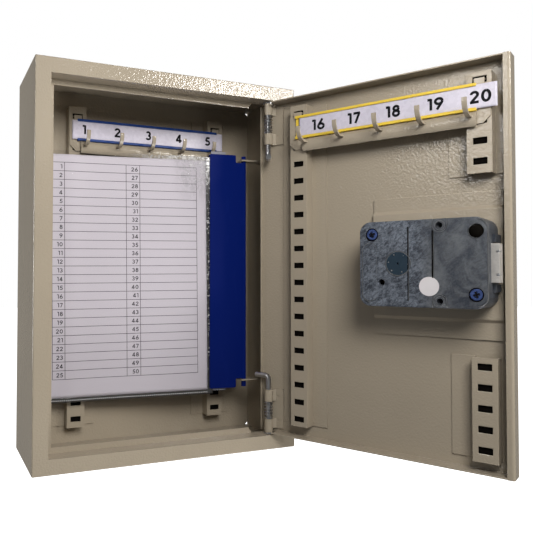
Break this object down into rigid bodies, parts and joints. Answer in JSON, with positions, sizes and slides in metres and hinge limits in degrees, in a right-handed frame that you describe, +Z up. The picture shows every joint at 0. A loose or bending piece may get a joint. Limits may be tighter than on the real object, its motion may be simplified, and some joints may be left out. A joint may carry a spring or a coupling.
{
  "type": "combination key cabinet",
  "caption": "Wall key cabinet in folded steel with a lift-off inset door, a dial combination lock, numbered hook bars and a hinged paper index.",
  "frame": {"origin": "middle of the rear face that goes against the wall", "axes": "+X to the hinge side, +Y into the wall, +Z up"},
  "size_m": [0.3017, 0.2481, 0.313],
  "materials": {
    "beige_powder_coat": "fine orange-peel powder coat, semi-gloss",
    "blue_holder_plastic": "extruded plastic, satin",
    "yellow_holder_plastic": "extruded plastic, satin",
    "label_card": "printed plastic card, satin",
    "blue_spine_plastic": "moulded plastic with light scuffs",
    "clear_film": "clear welded film",
    "white_paper": "printed paper",
    "zinc_plated_steel": "bright zinc plate",
    "blue_zinc_screw": "blue passivated zinc plate",
    "die_cast_zinc": "mottled conversion-coated die casting",
    "bolt_steel": "tumbled steel",
    "wheel_brass": "stamped brass",
    "dial_black": "black moulded dial with white marks"
  },
  "bodies": {
    "cabinet": {"cabinet_shell": "beige_powder_coat", "back_panel": "beige_powder_coat", "back_column_left": "beige_powder_coat", "back_column_right": "beige_powder_coat", "index_tab_lower": "beige_powder_coat", "index_tab_upper": "beige_powder_coat", "hook_bar_inside": "beige_powder_coat", "label_holder_inside": "blue_holder_plastic"},
    "inside_label": {"label_insert_inside": "label_card"},
    "index_flap": {"index_spine": "blue_spine_plastic", "index_binding_strip": "clear_film", "index_wallet": "clear_film", "index_sheet": "white_paper"},
    "door": {"door_pan": "beige_powder_coat", "door_column_hinge_side": "beige_powder_coat", "door_column_upper": "beige_powder_coat", "door_column_lower": "beige_powder_coat", "hinge_bracket_lower": "beige_powder_coat", "hinge_bracket_upper": "beige_powder_coat", "hinge_washer_lower": "zinc_plated_steel", "hinge_washer_upper": "zinc_plated_steel", "hinge_spring_lower": "zinc_plated_steel", "hinge_spring_upper": "zinc_plated_steel", "lock_plate": "beige_powder_coat", "hook_bar_door": "beige_powder_coat", "label_holder_door": "yellow_holder_plastic", "lock_case": "die_cast_zinc", "lock_cover": "die_cast_zinc", "mounting_screw_upper": "blue_zinc_screw", "mounting_screw_lower": "blue_zinc_screw", "bearing_disc": "blue_zinc_screw", "seal_disc": "white_paper", "wheel_spacer_1": "zinc_plated_steel", "wheel_spacer_2": "zinc_plated_steel", "dial_ring": "dial_black", "dial_ring_screw_left": "blue_zinc_screw", "dial_ring_screw_right": "blue_zinc_screw"},
    "door_label": {"label_insert_door": "label_card"},
    "upper_pin": {"hinge_pin_upper": "zinc_plated_steel"},
    "lower_pin": {"hinge_pin_lower": "zinc_plated_steel"},
    "dial_and_cam": {"dial": "dial_black", "spindle": "zinc_plated_steel", "drive_cam": "wheel_brass", "spline_key": "zinc_plated_steel"},
    "wheel_near_dial": {"wheel_1": "wheel_brass"},
    "wheel_middle": {"wheel_2": "wheel_brass"},
    "wheel_near_cam": {"wheel_3": "wheel_brass"},
    "lock_bolt": {"bolt": "bolt_steel", "bolt_end_screw_lower": "bolt_steel", "bolt_end_screw_upper": "bolt_steel", "lever": "bolt_steel", "lever_screw": "zinc_plated_steel"}
  },
  "joints": [
    {"name": "door_swing", "type": "hinge", "parent": "cabinet", "child": "door", "pos_m": [0.0909, -0.0763, 0], "axis": [0, 0, 1], "range_deg": [-118, 1]},
    {"name": "index_swing", "type": "hinge", "parent": "cabinet", "child": "index_flap", "pos_m": [0.0877, -0.037, 0], "axis": [0, 0, 1], "range_deg": [0, 62]},
    {"name": "upper_pin_slide", "type": "slide", "parent": "door", "child": "upper_pin", "axis": [0, 0, -1], "range_m": [0, 0.005], "stiffness_N_per_m": 500, "springref_m": -0.008, "deforming": ["hinge_spring_upper"]},
    {"name": "lower_pin_slide", "type": "slide", "parent": "door", "child": "lower_pin", "axis": [0, 0, 1], "range_m": [0, 0.005], "stiffness_N_per_m": 500, "springref_m": -0.008, "deforming": ["hinge_spring_lower"]},
    {"name": "dial_spin", "type": "hinge", "parent": "door", "child": "dial_and_cam", "pos_m": [0.14827, -0.1842, 0.0009], "axis": [0.8829, 0.4695, 0], "continuous": true},
    {"name": "bolt_slide", "type": "slide", "parent": "door", "child": "lock_bolt", "axis": [0.4695, -0.8829, 0], "range_m": [0, 0.009]},
    {"name": "door_label_slide", "type": "slide", "parent": "door", "child": "door_label", "axis": [0.4695, -0.8829, 0], "range_m": [-0.02, 0.001]},
    {"name": "inside_label_slide", "type": "slide", "parent": "cabinet", "child": "inside_label", "axis": [1, 0, 0], "range_m": [-0.018, 0.002]},
    {"name": "wheel_1_spin", "type": "hinge", "parent": "door", "child": "wheel_near_dial", "pos_m": [0.14827, -0.1842, 0.0009], "axis": [0.8829, 0.4695, 0], "continuous": true},
    {"name": "wheel_2_spin", "type": "hinge", "parent": "door", "child": "wheel_middle", "pos_m": [0.14827, -0.1842, 0.0009], "axis": [0.8829, 0.4695, 0], "continuous": true},
    {"name": "wheel_3_spin", "type": "hinge", "parent": "door", "child": "wheel_near_cam", "pos_m": [0.14827, -0.1842, 0.0009], "axis": [0.8829, 0.4695, 0], "continuous": true}
  ],
  "couplings": [
    {"joint": "wheel_1_spin", "follows": "dial_spin", "ratio": 1},
    {"joint": "wheel_2_spin", "follows": "dial_spin", "ratio": 1},
    {"joint": "wheel_3_spin", "follows": "dial_spin", "ratio": 1}
  ]
}
